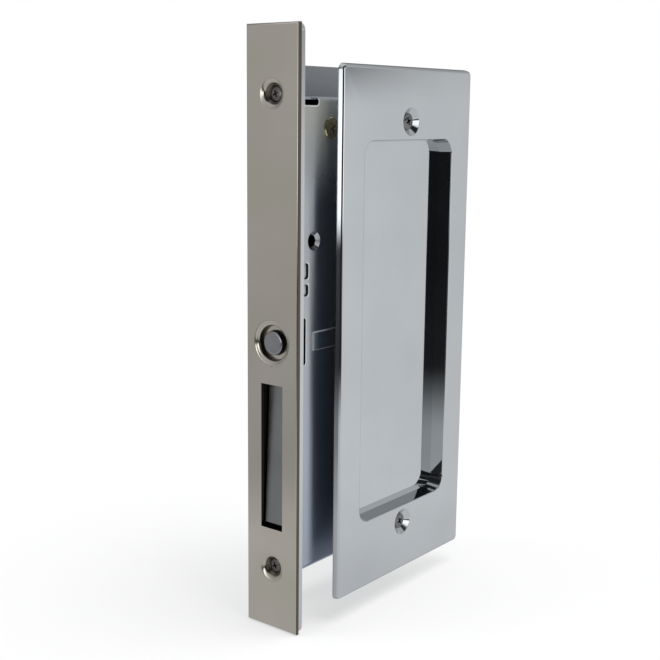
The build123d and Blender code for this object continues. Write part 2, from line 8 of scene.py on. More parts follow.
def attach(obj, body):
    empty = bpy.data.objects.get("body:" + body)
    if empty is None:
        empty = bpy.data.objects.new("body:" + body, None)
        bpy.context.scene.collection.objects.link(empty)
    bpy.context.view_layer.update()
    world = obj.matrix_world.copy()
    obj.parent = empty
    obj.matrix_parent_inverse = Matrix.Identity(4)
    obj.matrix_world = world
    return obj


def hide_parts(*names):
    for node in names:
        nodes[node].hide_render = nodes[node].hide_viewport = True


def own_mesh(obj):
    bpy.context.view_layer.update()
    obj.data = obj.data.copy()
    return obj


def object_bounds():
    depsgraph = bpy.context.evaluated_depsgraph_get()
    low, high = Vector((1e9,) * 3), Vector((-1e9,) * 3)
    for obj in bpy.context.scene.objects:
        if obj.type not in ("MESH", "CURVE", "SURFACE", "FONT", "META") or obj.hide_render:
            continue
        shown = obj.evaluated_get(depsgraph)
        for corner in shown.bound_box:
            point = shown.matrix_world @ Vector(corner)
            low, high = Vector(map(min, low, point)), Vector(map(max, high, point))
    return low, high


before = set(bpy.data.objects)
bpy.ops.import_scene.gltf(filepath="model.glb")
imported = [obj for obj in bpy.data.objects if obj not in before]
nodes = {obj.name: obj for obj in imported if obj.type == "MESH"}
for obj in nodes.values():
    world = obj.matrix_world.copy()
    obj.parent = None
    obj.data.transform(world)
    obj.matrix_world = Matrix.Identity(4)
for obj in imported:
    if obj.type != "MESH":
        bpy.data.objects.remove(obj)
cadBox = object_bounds()
print("frame loaded:", len(nodes), "nodes")

mmPerMetre = 1000  # pieces are given in millimetres; the camera, floor and lamps are in metres


# camera at the photograph's viewing angle
cameraView = {
    "place": (-0.32391, -0.28118, 0.08510),
    "azimuth": 38.3186,  # turned from +X towards +Y
    "dip": 10.7939,
    "roll": 0.5986,
    "focalPixels": 1150.08,
    "framePixels": 660,
    "sensor": 36,
    "clip": (0.01, 20),
}


def addCamera(view):
    azimuth, dip, roll = (radians(view[angle]) for angle in ("azimuth", "dip", "roll"))
    ahead = Vector((cos(azimuth) * cos(dip), sin(azimuth) * cos(dip), -sin(dip)))
    level = Vector((sin(azimuth), -cos(azimuth), 0))
    above = level.cross(ahead)
    right = cos(roll) * level + sin(roll) * above
    up = cos(roll) * above - sin(roll) * level
    turn = Matrix((right, up, -ahead)).transposed().to_4x4()
    bpy.ops.object.camera_add()
    camera = bpy.context.object
    camera.matrix_world = Matrix.Translation(view["place"]) @ turn
    camera.data.sensor_width = view["sensor"]
    camera.data.lens = view["sensor"] * view["focalPixels"] / view["framePixels"]
    camera.data.clip_start, camera.data.clip_end = view["clip"]
    bpy.context.scene.camera = camera


addCamera(cameraView)
bpy.context.scene.view_settings.view_transform = "Standard"
print("camera placed")


def newMaterial(name):
    material = bpy.data.materials.new(name)
    material.use_nodes = True
    tree = material.node_tree
    return material, tree, tree.nodes["Principled BSDF"]


def mathNode(tree, operation, first, second=None):
    node = tree.nodes.new("ShaderNodeMath")
    node.operation = operation
    for socket, value in zip(node.inputs, (first, second)):
        if isinstance(value, (int, float)):
            socket.default_value = value
        elif value is not None:
            tree.links.new(value, socket)
    return node.outputs["Value"]


def spanNode(tree, source, low, high, toLow=0.0, toHigh=1.0):
    node = tree.nodes.new("ShaderNodeMapRange")
    node.interpolation_type = "SMOOTHSTEP"
    limits = {"From Min": low, "From Max": high, "To Min": toLow, "To Max": toHigh}
    for socket, value in limits.items():
        node.inputs[socket].default_value = value
    tree.links.new(source, node.inputs["Value"])
    return node.outputs["Result"]


def objectNoise(tree, scale, stretch, detail):
    coords = tree.nodes.new("ShaderNodeTexCoord")
    mapping = tree.nodes.new("ShaderNodeMapping")
    mapping.inputs["Scale"].default_value = stretch
    noise = tree.nodes.new("ShaderNodeTexNoise")
    noise.inputs["Scale"].default_value = scale
    noise.inputs["Detail"].default_value = detail
    tree.links.new(coords.outputs["Object"], mapping.inputs["Vector"])
    tree.links.new(mapping.outputs["Vector"], noise.inputs["Vector"])
    return noise.outputs["Fac"]


def colourRamp(tree, source, stops):
    ramp = tree.nodes.new("ShaderNodeValToRGB")
    elements = ramp.color_ramp.elements
    elements[0].position, elements[0].color = stops[0]
    elements[1].position, elements[1].color = stops[-1]
    for place, colour in stops[1:-1]:
        elements.new(place).color = colour
    tree.links.new(source, ramp.inputs["Fac"])
    return ramp.outputs["Color"]


def blendNode(tree, kind, mask, first, second):
    node = tree.nodes.new("ShaderNodeMix")
    node.data_type = kind
    sockets = [socket for socket in node.inputs if socket.enabled]
    tree.links.new(mask, sockets[0])
    for socket, value in zip(sockets[1:], (first, second)):
        if isinstance(value, bpy.types.NodeSocket):
            tree.links.new(value, socket)
        else:
            socket.default_value = value
    return next(socket for socket in node.outputs if socket.enabled)


def bumpTo(tree, source, shader, strength, distance):
    bump = tree.nodes.new("ShaderNodeBump")
    bump.inputs["Strength"].default_value = strength
    bump.inputs["Distance"].default_value = distance
    tree.links.new(source, bump.inputs["Height"])
    tree.links.new(bump.outputs["Normal"], shader.inputs["Normal"])


def coordParts(tree, source):
    coords = tree.nodes.new("ShaderNodeTexCoord")
    parts = tree.nodes.new("ShaderNodeSeparateXYZ")
    tree.links.new(coords.outputs[source], parts.inputs["Vector"])
    return parts.outputs


def overlap(tree, first, second):
    return mathNode(tree, "MULTIPLY", first, second)


def fromSpan(tree, value, low, high):
    # how far outside a span a value lies, below 0 inside it
    away = mathNode(tree, "ABSOLUTE", mathNode(tree, "SUBTRACT", value, (low + high) / 2))
    return mathNode(tree, "SUBTRACT", away, (high - low) / 2)


def insideBox(tree, spans):
    # 1 between the given limits
    place = coordParts(tree, "Object")
    mask = None
    for axis, (low, high) in spans.items():
        outside = fromSpan(tree, place[axis], low / mmPerMetre, high / mmPerMetre)
        inside = mathNode(tree, "LESS_THAN", outside, 0.0)
        mask = inside if mask is None else overlap(tree, mask, inside)
    return mask


# limits on how squarely a surface faces along an axis, where a finish changes, mostly to painted shade or
# a painted highlight
facingLimits = {
    "paintedShade": (0.6, 0.9),
    "pullBack": (-0.7, -0.3),
    "pierced": 0.3,
    "pressedSlope": (0.38, 0.62),
}
forendMiddle = {"Y": (-9.5, 9.5), "Z": (-100, 100)}  # clear of the forend's rim
caseWall = {
    "middle": {"X": (2.3, 77), "Z": (-90, 88.2)},  # inside the folds
    "pressing": {"X": (7.5, 23.5), "Y": (-12, -9.5), "Z": (-6, 3.5)},
    "face": {"Y": (-10.1, -9.7)},
    "openings": [  # left, right, bottom, top, and where the rim begins to show
        (2.75, 5.85, 23.1, 29.1, 4.3),
        (2.75, 5.85, 16.65, 21.15, 4.3),
        (2.75, 4.45, -9.6, 8.4, 3.6),
        (2.8, 11.2, 87, 89.8, -4),
    ],
    "corner": 0.85,
    "rim": 0.25,
    "hazeAndPaintedLight": (48, 88),
    "tabs": {"Y": (-10, -8)},
}


def paintedShadeMask(tree):
    # 1 on the walls of holes and the rims of a plate that lies square to X, where painted shade goes
    facing = mathNode(tree, "ABSOLUTE", coordParts(tree, "Normal")["X"])
    return spanNode(tree, facing, *facingLimits["paintedShade"], 1.0, 0.0)


def paintedShadeSlotWallMask(tree):
    # painted shade on the forend's own slot and holes, not its rim
    return overlap(tree, paintedShadeMask(tree), insideBox(tree, forendMiddle))


def pullBackMask(tree):
    # 1 on the side of a flush pull that faces the case, where the finishes paint light and shade
    side = mathNode(tree, "SIGN", coordParts(tree, "Object")["Y"])
    outward = overlap(tree, coordParts(tree, "Normal")["Y"], side)
    return spanNode(tree, outward, *facingLimits["pullBack"], 1.0, 0.0)


def paintedShadeOpeningMask(tree):
    # walls of the openings in the case, coloured near black as painted shade
    facing = mathNode(tree, "ABSOLUTE", coordParts(tree, "Normal")["Y"])
    wall = mathNode(tree, "LESS_THAN", facing, facingLimits["pierced"])
    return overlap(tree, wall, insideBox(tree, caseWall["middle"]))


def paintedHighlightSlopeMask(tree):
    # sloping sides of the pressed rectangle, coloured lighter as a painted highlight
    facing = mathNode(tree, "ABSOLUTE", coordParts(tree, "Normal")["Y"])
    slope = mathNode(tree, "LESS_THAN", fromSpan(tree, facing, *facingLimits["pressedSlope"]), 0.0)
    return overlap(tree, slope, insideBox(tree, caseWall["pressing"]))


def paintedHighlightRimMask(tree):
    # a thin painted highlight along the inner side of each opening
    place = coordParts(tree, "Object")
    corner, rim = caseWall["corner"] / mmPerMetre, caseWall["rim"] / mmPerMetre
    mask = None
    for left, right, bottom, top, showing in caseWall["openings"]:
        across = fromSpan(tree, place["X"], left / mmPerMetre + corner, right / mmPerMetre - corner)
        along = fromSpan(tree, place["Z"], bottom / mmPerMetre + corner, top / mmPerMetre - corner)
        beyond = [mathNode(tree, "MAXIMUM", side, 0.0) for side in (across, along)]
        squares = [mathNode(tree, "POWER", side, 2.0) for side in beyond]
        away = mathNode(tree, "SQRT", mathNode(tree, "ADD", *squares))
        offCentre = mathNode(tree, "ABSOLUTE", mathNode(tree, "SUBTRACT", away, corner + rim))
        ring = spanNode(tree, offCentre, rim / 2, rim, 1.0, 0.0)
        inner = spanNode(tree, place["X"], showing / mmPerMetre, right / mmPerMetre)
        ring = overlap(tree, ring, inner)
        mask = ring if mask is None else mathNode(tree, "MAXIMUM", mask, ring)
    return overlap(tree, mask, insideBox(tree, caseWall["face"]))


def hazeAndPaintedLightMask(tree):
    # the plating is duller towards the case's top, and painted light makes it lighter there
    low, high = caseWall["hazeAndPaintedLight"]
    rise = spanNode(tree, coordParts(tree, "Object")["Z"], low / mmPerMetre, high / mmPerMetre)
    return overlap(tree, rise, insideBox(tree, caseWall["face"]))


def paintedHighlightTabMask(tree):
    # the bracket's tabs where they come through the case, coloured near white as a painted highlight
    return insideBox(tree, caseWall["tabs"])


# what all finishes share: the detail of each noise and the span of its values that counts
noiseDetail = {"tint": 3.0, "gloss": 4.0, "grain": 2.0}
noiseSpan = (0.3, 0.7)
unstretched = (1, 1, 1)
grainHeight = 0.0001  # metres


def finishNoise(tree, finish, kind):
    stretch = finish.get(kind + "Stretch", unstretched)
    return objectNoise(tree, finish[kind + "Scale"], stretch, noiseDetail[kind])


def metalFinish(name, finish):
    material, tree, shader = newMaterial(name)
    metal = 1.0
    shader.inputs["Metallic"].default_value = metal
    tint = colourRamp(tree, finishNoise(tree, finish, "tint"), finish["tints"])
    rough = spanNode(tree, finishNoise(tree, finish, "gloss"), *noiseSpan, *finish["rough"])
    for area in finish.get("areas", []):
        mask = area["where"](tree)
        tint = blendNode(tree, "RGBA", mask, tint, area["tint"])
        rough = blendNode(tree, "FLOAT", mask, rough, area["rough"])
        if "metal" in area:
            metal = blendNode(tree, "FLOAT", mask, metal, area["metal"])
            tree.links.new(metal, shader.inputs["Metallic"])
    tree.links.new(tint, shader.inputs["Base Color"])
    tree.links.new(rough, shader.inputs["Roughness"])
    bumpTo(tree, finishNoise(tree, finish, "grain"), shader, finish["grainDepth"], grainHeight)
    return material


satinNickel = metalFinish("satinNickel", {
    "tints": [
        (0.3, (0.545, 0.52, 0.44, 1)),
        (0.5, (0.575, 0.535, 0.475, 1)),
        (0.7, (0.605, 0.555, 0.505, 1)),
    ],
    "tintScale": 25,
    "rough": (0.12, 0.16),
    "glossScale": 60,
    "grainScale": 1500,
    "grainStretch": (1, 1, 0.015),  # fine brushing along the plate
    "grainDepth": 0.012,
    # painted shade: the walls of holes and wells and the rims of the trim and bezel are coloured dark
    "areas": [{"where": paintedShadeMask, "tint": (0.12, 0.105, 0.085, 1), "rough": 0.35}],
})
buttonNickel = metalFinish("buttonNickel", {
    "tints": [(0.3, (0.30, 0.305, 0.32, 1)), (0.7, (0.34, 0.345, 0.36, 1))],
    "tintScale": 200,
    "rough": (0.14, 0.2),
    "glossScale": 400,
    "grainScale": 2000,
    "grainDepth": 0.005,
    # painted shade: the button's side is coloured near black
    "areas": [{"where": paintedShadeMask, "tint": (0.08, 0.08, 0.08, 1), "rough": 0.3}],
})
# painted shade: the trim screws' heads are coloured much darker than the nickel round them
paintedShadeScrewNickel = metalFinish("paintedShadeScrewNickel", {
    "tints": [(0.3, (0.12, 0.115, 0.105, 1)), (0.7, (0.19, 0.18, 0.165, 1))],
    "tintScale": 400,
    "rough": (0.18, 0.28),
    "glossScale": 500,
    "grainScale": 1500,
    "grainDepth": 0.02,
})
chromeFinish = {
    "tints": [(0.3, (0.50, 0.52, 0.535, 1)), (0.7, (0.53, 0.55, 0.565, 1))],
    "tintScale": 40,
    "rough": (0.02, 0.05),
    "glossScale": 80,
    "grainScale": 25,
    "grainDepth": 0.015,  # the slow ripple of a polished pressing
}
# painted light and shade on one part: the near pull's back is near white so the case mirrors more light,
# the far pull's back is dark grey
nearBackPaintedLight = {"where": pullBackMask, "tint": (0.66, 0.71, 0.80, 1), "rough": 0.5, "metal": 0.05}
farBackPaintedShade = {"where": pullBackMask, "tint": (0.30, 0.315, 0.335, 1), "rough": 0.5, "metal": 0.4}
mirrorChrome = metalFinish("mirrorChrome", {**chromeFinish, "areas": [nearBackPaintedLight]})
farChrome = metalFinish("farChrome", {**chromeFinish, "areas": [farBackPaintedShade]})
# painted shade: the pull screws' heads are coloured much darker than the chrome round them
paintedShadeScrewChrome = metalFinish("paintedShadeScrewChrome", {
    **chromeFinish,
    "tints": [(0.3, (0.13, 0.13, 0.135, 1)), (0.7, (0.2, 0.2, 0.205, 1))],
    "tintScale": 300,
    "rough": (0.08, 0.16),
})
zincFinish = {
    "tints": [
        (0.25, (0.52, 0.535, 0.55, 1)),
        (0.55, (0.565, 0.575, 0.57, 1)),
        (0.8, (0.61, 0.60, 0.565, 1)),
    ],
    "tintScale": 60,
    "tintStretch": (1, 1, 0.15),
    "rough": (0.17, 0.25),
    "glossScale": 150,
    "glossStretch": (1, 1, 0.1),  # drawing lines of the sheet
    "grainScale": 1200,
    "grainStretch": (1, 1, 0.03),
    "grainDepth": 0.02,
}
zincPlate = metalFinish("zincPlate", zincFinish)
# painted shade: the forend's slot and hole walls are coloured near black
paintedShadeSlotWall = {"where": paintedShadeSlotWallMask, "tint": (0.05, 0.045, 0.04, 1), "rough": 0.4}
forendZinc = metalFinish("forendZinc", {**zincFinish, "areas": [paintedShadeSlotWall]})
caseZinc = metalFinish("caseZinc", {
    **zincFinish,
    "tints": [
        (0.25, (0.355, 0.395, 0.485, 1)),
        (0.55, (0.40, 0.43, 0.48, 1)),
        (0.8, (0.50, 0.485, 0.465, 1)),
    ],
    "rough": (0.17, 0.24),
    "areas": [
        # duller, rougher plating towards the top, partly painted light: its colour is lighter there
        {"where": hazeAndPaintedLightMask, "tint": (0.46, 0.465, 0.43, 1), "rough": 0.45, "metal": 0.6},
        # painted shade: the walls of the case's openings are near black
        {"where": paintedShadeOpeningMask, "tint": (0.03, 0.03, 0.035, 1), "rough": 0.5},
        # painted highlight on the pressing's sloping sides
        {"where": paintedHighlightSlopeMask, "tint": (0.5, 0.52, 0.56, 1), "rough": 0.4, "metal": 0.4},
        # painted highlight: a thin bright line along the openings' rims
        {"where": paintedHighlightRimMask, "tint": (0.78, 0.81, 0.85, 1), "rough": 0.4, "metal": 0.3},
    ],
})
yellowZinc = metalFinish("yellowZinc", {
    "tints": [
        (0.3, (0.46, 0.39, 0.21, 1)),
        (0.5, (0.48, 0.45, 0.29, 1)),
        (0.7, (0.45, 0.37, 0.27, 1)),
    ],
    "tintScale": 350,
    "rough": (0.2, 0.32),
    "glossScale": 500,
    "grainScale": 1500,
    "grainDepth": 0.03,
})
satinZinc = metalFinish("satinZinc", {
    "tints": [(0.3, (0.245, 0.255, 0.25, 1)), (0.7, (0.285, 0.295, 0.29, 1))],
    "tintScale": 50,
    "rough": (0.32, 0.4),
    "glossScale": 100,
    "grainScale": 2000,
    "grainStretch": (1, 1, 0.02),
    "grainDepth": 0.008,
    # painted shade: the edge pull's sides are coloured near black
    "areas": [{"where": paintedShadeMask, "tint": (0.05, 0.05, 0.05, 1), "rough": 0.4}],
})
blackSteel = metalFinish("blackSteel", {
    "tints": [(0.3, (0.035, 0.035, 0.04, 1)), (0.7, (0.06, 0.06, 0.065, 1))],
    "tintScale": 150,
    "rough": (0.35, 0.5),
    "glossScale": 300,
    "grainScale": 900,
    "grainDepth": 0.03,
    # painted highlight: the tab ends in the case's openings are near white
    "areas": [{"where": paintedHighlightTabMask, "tint": (0.78, 0.81, 0.82, 1), "rough": 0.35, "metal": 0.4}],
})
springSteel = metalFinish("springSteel", {
    "tints": [(0.3, (0.32, 0.32, 0.33, 1)), (0.7, (0.42, 0.42, 0.42, 1))],
    "tintScale": 200,
    "rough": (0.25, 0.4),
    "glossScale": 300,
    "grainScale": 900,
    "grainDepth": 0.05,
})
print("finishes mixed")


# modelling steps that several pieces share
roundSteps = 72
mergeWithin = 0.000001  # metres
nearEnough = 0.00001  # metres
toEdge = (0, -90, 0)  # turns that take a shape's +Z out of the door's edge,
toNearSide = (90, 0, 0)  # out of the door's near side
toCase = (0, 90, 0)  # or into the case


def selectOnly(piece):
    bpy.ops.object.select_all(action="DESELECT")
    piece.select_set(True)
    bpy.context.view_layer.objects.active = piece


def turnedShape(rings, steps=roundSteps, solid=True):
    # ring by ring along +Z, each a radius and a height
    bpy.ops.object.select_all(action="DESELECT")
    radius, height = rings[0]
    bpy.ops.mesh.primitive_circle_add(
        vertices=steps,
        radius=radius / mmPerMetre,
        fill_type="NGON" if solid else "NOTHING",
        location=(0, 0, height / mmPerMetre),
    )
    bpy.ops.object.transform_apply(location=True)
    bpy.ops.object.mode_set(mode="EDIT")
    bpy.ops.mesh.select_all(action="SELECT")
    for nextRadius, nextHeight in rings[1:]:
        rise = (nextHeight - height) / mmPerMetre
        bpy.ops.mesh.extrude_region_move(TRANSFORM_OT_translate={"value": (0, 0, rise)})
        grow = nextRadius / radius
        bpy.ops.transform.resize(
            value=(grow, grow, 1), center_override=(0, 0, nextHeight / mmPerMetre)
        )
        radius, height = nextRadius, nextHeight
    bpy.ops.mesh.select_all(action="SELECT")
    bpy.ops.mesh.remove_doubles(threshold=mergeWithin)
    bpy.ops.mesh.normals_make_consistent(inside=False)
    bpy.ops.object.mode_set(mode="OBJECT")
    return bpy.context.object


def standAt(piece, turn, place):
    selectOnly(piece)
    piece.rotation_euler = [radians(angle) for angle in turn]
    piece.location = [value / mmPerMetre for value in place]
    bpy.ops.object.transform_apply(location=True, rotation=True, scale=True)
    return piece


def plainBlock(low, high):
    # a block between two corners, to be shaped or to cut with
    bpy.ops.object.select_all(action="DESELECT")
    middle = [(a + b) / 2 / mmPerMetre for a, b in zip(low, high)]
    bpy.ops.mesh.primitive_cube_add(size=1, location=middle)
    block = bpy.context.object
    block.scale = [(b - a) / mmPerMetre for a, b in zip(low, high)]
    bpy.ops.object.transform_apply(location=True, rotation=True, scale=True)
    return block


def pickEdges(piece, test):
    # edit mode with the edges selected whose two ends pass the test
    selectOnly(piece)
    bpy.ops.object.mode_set(mode="EDIT")
    bpy.ops.mesh.select_mode(type="EDGE")
    bpy.ops.mesh.select_all(action="DESELECT")
    mesh = bmesh.from_edit_mesh(piece.data)
    for edge in mesh.edges:
        edge.select = all(test(vert.co) for vert in edge.verts)
    mesh.select_flush_mode()
    bmesh.update_edit_mesh(piece.data)


def cutAway(piece, cutter):
    cut = piece.modifiers.new("cut", "BOOLEAN")
    cut.operation = "DIFFERENCE"
    cut.solver = "EXACT"
    cut.object = cutter
    selectOnly(piece)
    bpy.ops.object.modifier_apply(modifier="cut")
    selectOnly(cutter)
    bpy.ops.object.delete()


def finishPiece(piece, name, node, smooth, body="lock_body"):
    piece.name = piece.data.name = name
    selectOnly(piece)
    bpy.ops.object.shade_smooth_by_angle(angle=radians(smooth))
    even = piece.modifiers.new("evenNormals", "WEIGHTED_NORMAL")
    even.keep_sharp = True
    bpy.ops.object.modifier_apply(modifier="evenNormals")
    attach(piece, body)
    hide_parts(node)
    print("made", name, "with", len(piece.data.polygons), "faces")
    return piece


# trim plate: eased front edge, shallow pressed dishes round the screws
trimPlate = {
    "low": (-3.5, -12.7, -116),
    "high": (-2, 12.7, 116),
    "edge": 0.6,
    "edgeSteps": 4,
    "slot": (5.35, -75.2, -17.6),  # half width, bottom and top
    "slotCut": (-5, 0),  # how far the cutter reaches, through the plate
    "buttonHole": (8.92, -1.5),  # radius and height
    "holeCut": (1, 5),
    "dishHeights": (91, -91),
    "dish": [
        (3.35, 1.8), (3.35, 1.95), (3.5, 2.2), (3.8, 2.55), (4.1, 2.82), (4.35, 2.98), (4.6, 3.1),
        (4.9, 3.22), (5.2, 3.33), (5.5, 3.42), (5.8, 3.48), (6.1, 3.52), (6.4, 3.54), (6.4, 4),
    ],
    "dimple": [  # metal that the dish pushes out behind the plate
        (3.35, 2.02), (2.95, 1.6), (2.72, 1.2), (2.8, 1.16), (3.15, 1.56), (3.6, 2.02), (3.35, 2.02),
    ],
    "smooth": 30,
}


def makeTrimPlate(plate):
    piece = plainBlock(plate["low"], plate["high"])
    front = plate["low"][0] / mmPerMetre
    pickEdges(piece, lambda co: abs(co.x - front) < nearEnough)
    bpy.ops.mesh.bevel(
        offset=plate["edge"] / mmPerMetre, segments=plate["edgeSteps"], affect="EDGES"
    )
    bpy.ops.object.mode_set(mode="OBJECT")
    half, bottom, top = plate["slot"]
    outer, inner = plate["slotCut"]
    cutAway(piece, plainBlock((outer, -half, bottom), (inner, half, top)))
    radius, height = plate["buttonHole"]
    hole = turnedShape([(radius, reach) for reach in plate["holeCut"]])
    cutAway(piece, standAt(hole, toEdge, (0, 0, height)))
    for height in plate["dishHeights"]:
        cutAway(piece, standAt(turnedShape(plate["dish"]), toEdge, (0, 0, height)))
        dimple = standAt(turnedShape(plate["dimple"], solid=False), toEdge, (0, 0, height))
        selectOnly(piece)
        dimple.select_set(True)
        bpy.ops.object.join()
    return finishPiece(piece, "trimPlate", "trim_plate", plate["smooth"])


# bezel: a thin outer bead, a step, then a wide shallow dish down to the button's well
buttonBezel = {
    "rings": [
        (8.9, 2), (8.9, 3.44), (8.85, 3.48), (8.72, 3.47), (8.5, 3.42), (8.2, 3.32), (8.05, 3.25),
        (7.95, 3.15), (7.85, 3.11), (7.65, 3.05), (7.4, 2.96), (7.15, 2.85), (6.95, 2.7), (6.8, 2.45),
        (6.7, 2), (6.6, 1.2), (6.5, 0.8), (4.95, 0.8), (4.95, 0.02), (7.0, 0.02), (7.0, 2), (8.9, 2),
    ],
    "around": 96,
    "height": -1.5,
    "smooth": 40,
}


def makeButtonBezel(bezel):
    ring = turnedShape(bezel["rings"], bezel["around"], solid=False)
    piece = standAt(ring, toEdge, (0, 0, bezel["height"]))
    return finishPiece(piece, "buttonBezel", "button_bezel", bezel["smooth"])


# push button: a flat disc with a small round at its edge, standing in the bezel's well
pushButton = {
    "rings": [
        (0.42, -9), (1.5, -8.65), (2.5, -7.6), (2.5, -1.45), (5.9, -1.45), (5.9, -0.05), (4.9, -0.05),
        (4.9, 1), (4.72, 1.5), (4.68, 2.4), (4.62, 2.62), (4.47, 2.82), (4.25, 2.92), (3.8, 2.97),
        (2, 3.02), (0.02, 3.03),
    ],
    "around": 96,
    "height": -1.5,
    "smooth": 40,
}


def makePushButton(button):
    turned = turnedShape(button["rings"], button["around"])
    piece = standAt(turned, toEdge, (0, 0, button["height"]))
    return finishPiece(piece, "pushButton", "push_button", button["smooth"], "push_button")


# cross-recess screws: the trim's pair sit deep in their dishes, the pull's pair have domed heads
trimScrews = {
    "rings": [
        (2.1, 0.2), (2.1, 0.5), (2.55, 1.0), (2.62, 1.12), (2.57, 1.25), (2.35, 1.35), (1.4, 1.43),
        (0.02, 1.45),
    ],
    "around": 64,
    "cross": (2.6, 0.7, 0.9),  # arm length, width, depth
    "twist": 20,
    "turn": toEdge,
    "places": [(0, 0, 91), (0, 0, -91)],
    "smooth": 35,
}
pullScrews = {
    "rings": [
        (2, -10), (2, 14.9), (3.12, 16.08), (3.2, 16.2), (3.12, 16.32), (2.75, 16.46), (1.8, 16.58),
        (0.02, 16.64),
    ],
    "around": 64,
    "cross": (3.0, 0.8, 1.0),
    "twist": 25,
    "turn": toNearSide,
    "places": [(60, 0, 81.2), (60, 0, -85.8)],
    "smooth": 35,
}
crossCutAbove = 1  # how far the recess's cutter stands above the head


def makeScrews(screw, name, node):
    first = turnedShape(screw["rings"], screw["around"])
    length, width, depth = screw["cross"]
    top = screw["rings"][-1][1]
    for twist in (screw["twist"], screw["twist"] + 90):
        low = (-length / 2, -width / 2, top - depth)
        high = (length / 2, width / 2, top + crossCutAbove)
        cutAway(first, standAt(plainBlock(low, high), (0, 0, twist), (0, 0, 0)))
    selectOnly(first)
    bpy.ops.object.duplicate()
    second = bpy.context.object
    for piece, place in zip((first, second), screw["places"]):
        standAt(piece, screw["turn"], place)
    selectOnly(first)
    second.select_set(True)
    bpy.ops.object.join()
    return finishPiece(first, name, node, screw["smooth"])


# return spring round the button's stem
buttonSpring = {
    "coil": 3.85,  # radius of the wire's path
    "wire": 0.35,
    "wireSides": 12,
    "turns": 2.5,
    "stepsPerTurn": 48,
    "start": 1.85,
    "length": 3.75,
    "height": -1.5,
    "guide": 6.0,
    "closed": 0.33,  # share of its length when the button is home
    "smooth": 50,
}


def makeButtonSpring(spring):
    bpy.ops.object.select_all(action="DESELECT")
    bpy.ops.mesh.primitive_circle_add(vertices=spring["wireSides"], radius=spring["wire"] / mmPerMetre)
    piece = standAt(bpy.context.object, toNearSide, (spring["coil"], 0, 0))  # the wire's section, on edge
    wind = piece.modifiers.new("wind", "SCREW")
    wind.angle = radians(360 * spring["turns"])
    wind.screw_offset = spring["length"] / mmPerMetre
    wind.steps = wind.render_steps = int(spring["stepsPerTurn"] * spring["turns"])
    bpy.ops.object.modifier_apply(modifier="wind")
    bpy.ops.object.mode_set(mode="EDIT")
    bpy.ops.mesh.select_all(action="SELECT")
    bpy.ops.mesh.fill_holes(sides=0)
    bpy.ops.mesh.normals_make_consistent(inside=False)
    bpy.ops.object.mode_set(mode="OBJECT")
    standAt(piece, toCase, (spring["start"], 0, spring["height"]))
    finishPiece(piece, "buttonSpring", "button_spring", spring["smooth"])
    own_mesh(piece)
    return piece


# flush pulls: outlines from the cup's back, round the drafted edge and down into the cup;
# each step is an outline, its growth, and its distance from the door's middle
flushPull = {
    "middle": (60, -2.3),
    "outlines": {"flange": (88.9, 209.6, 2.5), "cup": (60.9, 152.6, 6.0)},  # width, height, corner
    "cornerSteps": 8,
    "steps": [
        ("cup", 0.38, 11.1), ("cup", 1, 15.5),
        ("flange", 0, 15.5), ("flange", -0.378, 17.015), ("flange", -0.502, 17.33),
        ("flange", -0.704, 17.603), ("flange", -0.989, 17.826), ("flange", -1.303, 17.956),
        ("flange", -1.639, 18),
        ("cup", 0.435, 18), ("cup", 0.2, 17.941), ("cup", 0.025, 17.787), ("cup", -0.06, 17.57),
        ("cup", -0.829, 12.1),
    ],
    "screwHeights": (81.2, -85.8),
    "sink": [
        (3.25, 15), (3.25, 16.28), (5.25, 17.74), (5.45, 17.88), (5.65, 17.98), (5.9, 18.04), (5.9, 18.5),
    ],
    "smooth": 35,
}


def outlineLoop(width, tall, corner, height, cornerSteps):
    bpy.ops.mesh.select_all(action="DESELECT")
    bpy.ops.mesh.primitive_plane_add(size=1)
    bpy.ops.transform.resize(
        value=(width / mmPerMetre, tall / mmPerMetre, 1), center_override=(0, 0, 0)
    )
    bpy.ops.transform.translate(value=(0, 0, height / mmPerMetre))
    bpy.ops.mesh.bevel(offset=corner / mmPerMetre, segments=cornerSteps, affect="VERTICES")
    bpy.ops.object.vertex_group_assign_new()
    bpy.ops.mesh.delete(type="ONLY_FACE")


def pickLoops(piece, *names):
    bpy.ops.mesh.select_all(action="DESELECT")
    for name in names:
        piece.vertex_groups.active_index = piece.vertex_groups[name].index
        bpy.ops.object.vertex_group_select()


def makeNearPull(pull):
    bpy.ops.object.select_all(action="DESELECT")
    bpy.ops.mesh.primitive_plane_add(size=1)
    piece = bpy.context.object
    bpy.ops.object.mode_set(mode="EDIT")
    bpy.ops.mesh.delete(type="VERT")  # an empty mesh to draw the outlines in
    for outline, grow, height in pull["steps"]:
        width, tall, corner = pull["outlines"][outline]
        outlineLoop(width + 2 * grow, tall + 2 * grow, corner + grow, height, pull["cornerSteps"])
    loops = [group.name for group in piece.vertex_groups]
    for first, second in zip(loops, loops[1:]):
        pickLoops(piece, first, second)
        bpy.ops.mesh.bridge_edge_loops()
    for end in (loops[0], loops[-1]):
        pickLoops(piece, end)
        bpy.ops.mesh.edge_face_add()
    bpy.ops.mesh.select_all(action="SELECT")
    bpy.ops.mesh.normals_make_consistent(inside=False)
    bpy.ops.object.mode_set(mode="OBJECT")
    piece.vertex_groups.clear()
    across, up = pull["middle"]
    standAt(piece, toNearSide, (across, 0, up))
    for height in pull["screwHeights"]:
        cutAway(piece, standAt(turnedShape(pull["sink"]), toNearSide, (across, 0, height)))
    return piece


